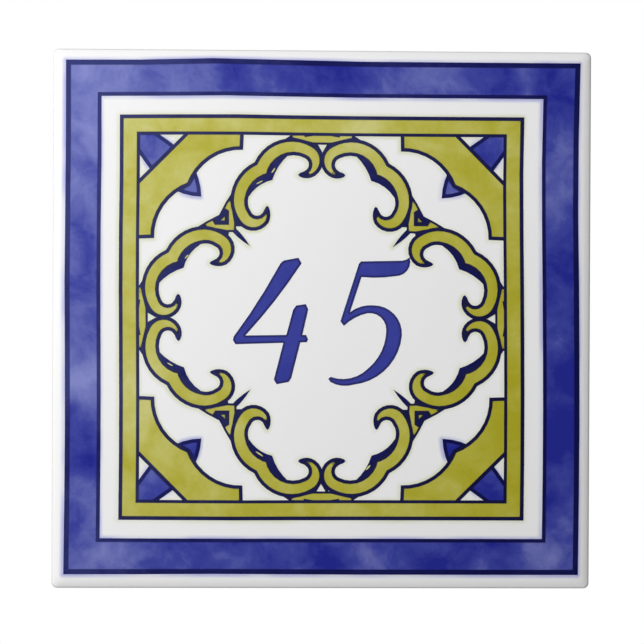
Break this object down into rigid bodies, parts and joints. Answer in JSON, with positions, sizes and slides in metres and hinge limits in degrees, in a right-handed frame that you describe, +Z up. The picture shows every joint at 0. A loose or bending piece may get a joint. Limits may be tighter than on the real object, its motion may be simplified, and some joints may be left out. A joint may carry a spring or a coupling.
{
  "type": "house number plaque",
  "caption": "Square glazed ceramic house number tile with a painted number, scroll ornament and painted frames, fixed flat to a wall.",
  "frame": {"origin": "centre of the tile's back face, on the wall plane", "axes": "+Y into the wall, so the painted face looks along -Y; +Z up; +X to the right of a person who reads it"},
  "size_m": [0.1524, 0.0071, 0.1524],
  "materials": {
    "white_glaze": "glossy white glaze on fired clay, bare matt clay at the back",
    "dark_blue_glaze": "dark blue ceramic colour under glaze, glossy",
    "number_glaze": "dark blue ceramic colour under glaze, glossy",
    "blue_glaze": "blue ceramic colour under glaze, glossy",
    "leaf_glaze": "blue ceramic colour under glaze, glossy",
    "yellow_glaze": "ochre yellow ceramic colour under glaze, glossy"
  },
  "bodies": {
    "root": {"tile": "white_glaze", "outlines": "dark_blue_glaze", "number": "number_glaze", "blue_frame": "blue_glaze", "blue_leaves": "leaf_glaze", "yellow_frame": "yellow_glaze", "yellow_ornament": "yellow_glaze"}
  },
  "joints": []
}
